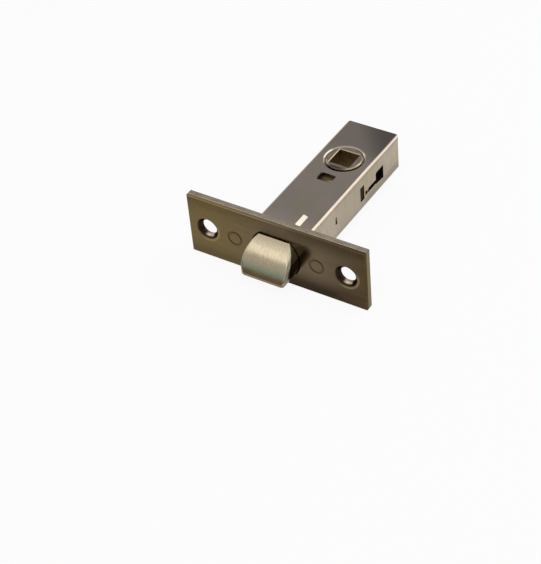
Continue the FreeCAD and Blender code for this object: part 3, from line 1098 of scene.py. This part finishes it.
@dataclass
class Studio:
    """Plain floor, pale surroundings, soft lamps and the camera at the photograph's view.

    Attributes:
        floor_z: height of the floor in mm, just under the face plates' lower edge.
        floor_side: side of the floor in metres.
        floor_colour: sRGB hex colour of the floor as light falls on it.
        floor_white: share of plain white in the floor where it is seen or mirrored.
        fill: strength of the surroundings as light.
        card_lift: height of the lying cards over the floor in mm.
        camera_place: camera in mm.
        rotation_vector: turn from the latch's frame to the camera's, in radians about an axis.
        focal_pixels: focal length in pixels of the photograph.
        sensor: sensor width in mm for the picture's longer side.
        clip: nearest and furthest distance that the camera shows, in metres.
        aim: point that the lamps and cards face, in metres.
        lamps: the soft lamps.
    """

    floor_z: float = -12.3
    floor_side: float = 4.0
    floor_colour: str = "#f4f3f1"
    floor_white: float = 0.92
    fill: float = 0.45
    card_lift: float = 0.2
    camera_place: tuple[float, float, float] = (246.85, -353.67, 361.04)
    rotation_vector: tuple[float, float, float] = (2.238050, 0.597701, -0.369629)
    focal_pixels: float = 1661.5
    sensor: float = 36.0
    clip: tuple[float, float] = (0.01, 20.0)
    aim: Vector = field(default_factory=lambda: Vector((0.0, 0.015, 0.0)))
    lamps: tuple[SoftLamp, ...] = (
        SoftLamp("key_front_left", Stand(-33.0, 40.0, 0.55, 0.34, 0.13), 0.55, "#fff8ee"),
        SoftLamp("rim_right_back", Stand(146.0, 40.0, 0.60, 0.50, 0.46), 1.75, "#e4ecff"),
        SoftLamp("overhead", Stand(25.0, 60.0, 0.70, 0.20, 0.20), 8.0),
        SoftLamp("low_left", Stand(-103.0, 26.0, 0.70, 0.24, 0.24), 0.9),
    )

    def camera(self) -> None:
        """Places the camera by the rotation that carries the latch's frame to the camera's.

        The rotation vector gives a matrix whose rows are the camera's right, down and
        forward. Blender's camera looks along its own -Z with +Y up, so two rows turn round.
        """
        vector = Vector(self.rotation_vector)
        turn = Matrix.Rotation(vector.length, 3, vector.normalized())
        right, down, forward = turn[0], turn[1], turn[2]
        data = bpy.data.cameras.new("camera")
        data.sensor_fit = "AUTO"
        data.sensor_width = self.sensor
        data.lens = self.focal_pixels * self.sensor / max(IMAGE_SIZE)
        data.clip_start, data.clip_end = self.clip
        basis = Matrix((right, -down, -forward)).transposed()
        camera = bpy.data.objects.new("camera", data)
        camera.matrix_world = Matrix.Translation(Vector(self.camera_place) * MM) @ basis.to_4x4()
        bpy.context.scene.collection.objects.link(camera)
        bpy.context.scene.camera = camera

    def shown(self, tree: Tree) -> Socket:
        """Tells the rays that show a backdrop, straight or in metal and glass, from those that light.

        Args:
            tree: node tree that gets the nodes.

        Returns:
            The socket that holds 1 for camera, glossy and transmission rays.
        """
        path = add_node(tree, "ShaderNodeLightPath")
        seen: Socket = path.outputs["Is Camera Ray"]
        for kind in ("Is Glossy Ray", "Is Transmission Ray"):
            most = add_node(
                tree, "ShaderNodeMath", {"operation": "MAXIMUM"}, {0: seen, 1: path.outputs[kind]}
            )
            seen = most.outputs[0]
        return seen

    def floor(self) -> None:
        """Lays the floor, white to the camera and in reflections, but for the latch's shadow."""
        half = self.floor_side / 2
        z = self.floor_z * MM
        corners = np.array([(-half, -half, z), (half, -half, z), (half, half, z), (-half, half, z)])
        plane = make_piece("floor", corners, [[0, 1, 2, 3]])
        material = bpy.data.materials.new("pale_floor")
        material.use_nodes = True
        tree = material.node_tree
        tree.nodes.clear()
        matt = add_node(tree, "ShaderNodeBsdfDiffuse", None, {"Color": linear(self.floor_colour)})
        white = add_node(tree, "ShaderNodeEmission", None, {"Color": (1, 1, 1, 1), "Strength": 1.0})
        share = add_node(
            tree, "ShaderNodeMath", {"operation": "MULTIPLY"},
            {0: self.shown(tree), 1: self.floor_white},
        )
        mixed = add_node(
            tree, "ShaderNodeMixShader", None,
            {0: share.outputs[0], 1: matt.outputs[0], 2: white.outputs[0]},
        )
        add_node(tree, "ShaderNodeOutputMaterial", None, {"Surface": mixed.outputs[0]})
        dress(plane, material)

    def surroundings(self) -> None:
        """Makes the world white where it is seen or mirrored, and a plain grey light elsewhere."""
        world = bpy.data.worlds.new("surroundings")
        bpy.context.scene.world = world
        world.use_nodes = True
        tree = world.node_tree
        tree.nodes.clear()
        strength = add_node(
            tree, "ShaderNodeMapRange", None,
            {"Value": self.shown(tree), "To Min": self.fill, "To Max": 1.0},
        )
        light = add_node(
            tree, "ShaderNodeBackground", None,
            {"Color": (1, 1, 1, 1), "Strength": strength.outputs[0]},
        )
        add_node(tree, "ShaderNodeOutputWorld", None, {"Surface": light.outputs[0]})

    def cards(self) -> list[GreyCard]:
        """Chooses the cards that give the metal something darker to mirror.

        Returns:
            A card behind the latch for the case's top, three before it for the bands on the
            nose, one at its right and one under the camera for the nose's rims, and two on the
            floor for the nose's foot and the front of the plates.
        """
        standing = (
            ("card_behind", Stand(-145.0, 40.0, 0.50, 0.44, 0.50), "#b1b4be"),
            ("card_mid", Stand(-26.0, 24.0, 0.47, 0.50, 0.16), "#c9c5c1"),
            ("card_low", Stand(-26.0, 11.2, 0.45, 0.50, 0.075), "#a9c8cc"),
            ("card_foot", Stand(-26.0, 2.4, 0.44, 0.50, 0.07), "#77664f"),
            ("card_right", Stand(46.0, 2.0, 0.45, 0.30, 0.16), "#8f9694"),
            ("card_camera", Stand(31.0, 49.0, 0.45, 0.24, 0.32), "#9aa09c"),
        )
        lying = (
            ("card_near", (-90, -85), (40, -28), "#876f5a"),
            ("card_far", (-260, -440), (60, -85), "#84705e"),
        )
        z = self.floor_z + self.card_lift
        cards = [GreyCard.facing(name, stand, self.aim, colour) for name, stand, colour in standing]
        cards += [GreyCard.lying(name, low, high, z, colour) for name, low, high, colour in lying]
        return cards

    def build(self) -> None:
        """Sets up the camera, the floor, the world, the cards and the lamps."""
        scene = bpy.context.scene
        scene.view_settings.view_transform = "Standard"
        self.camera()
        self.floor()
        self.surroundings()
        for card in self.cards():
            card.build()
        for lamp in self.lamps:
            lamp.build(self.aim)
        LOG.info("studio: %d lamps", len(self.lamps))


def main() -> None:
    """Dresses the latch piece by piece and builds the studio round it."""
    logging.basicConfig(level=logging.INFO, format="%(name)s: %(message)s")
    Studio().build()
    FacePlates().build(frame)
    CaseWorks().build(frame)
    LatchBolt().build(frame)
    Springs().build()


if __name__ == "__main__":
    main()
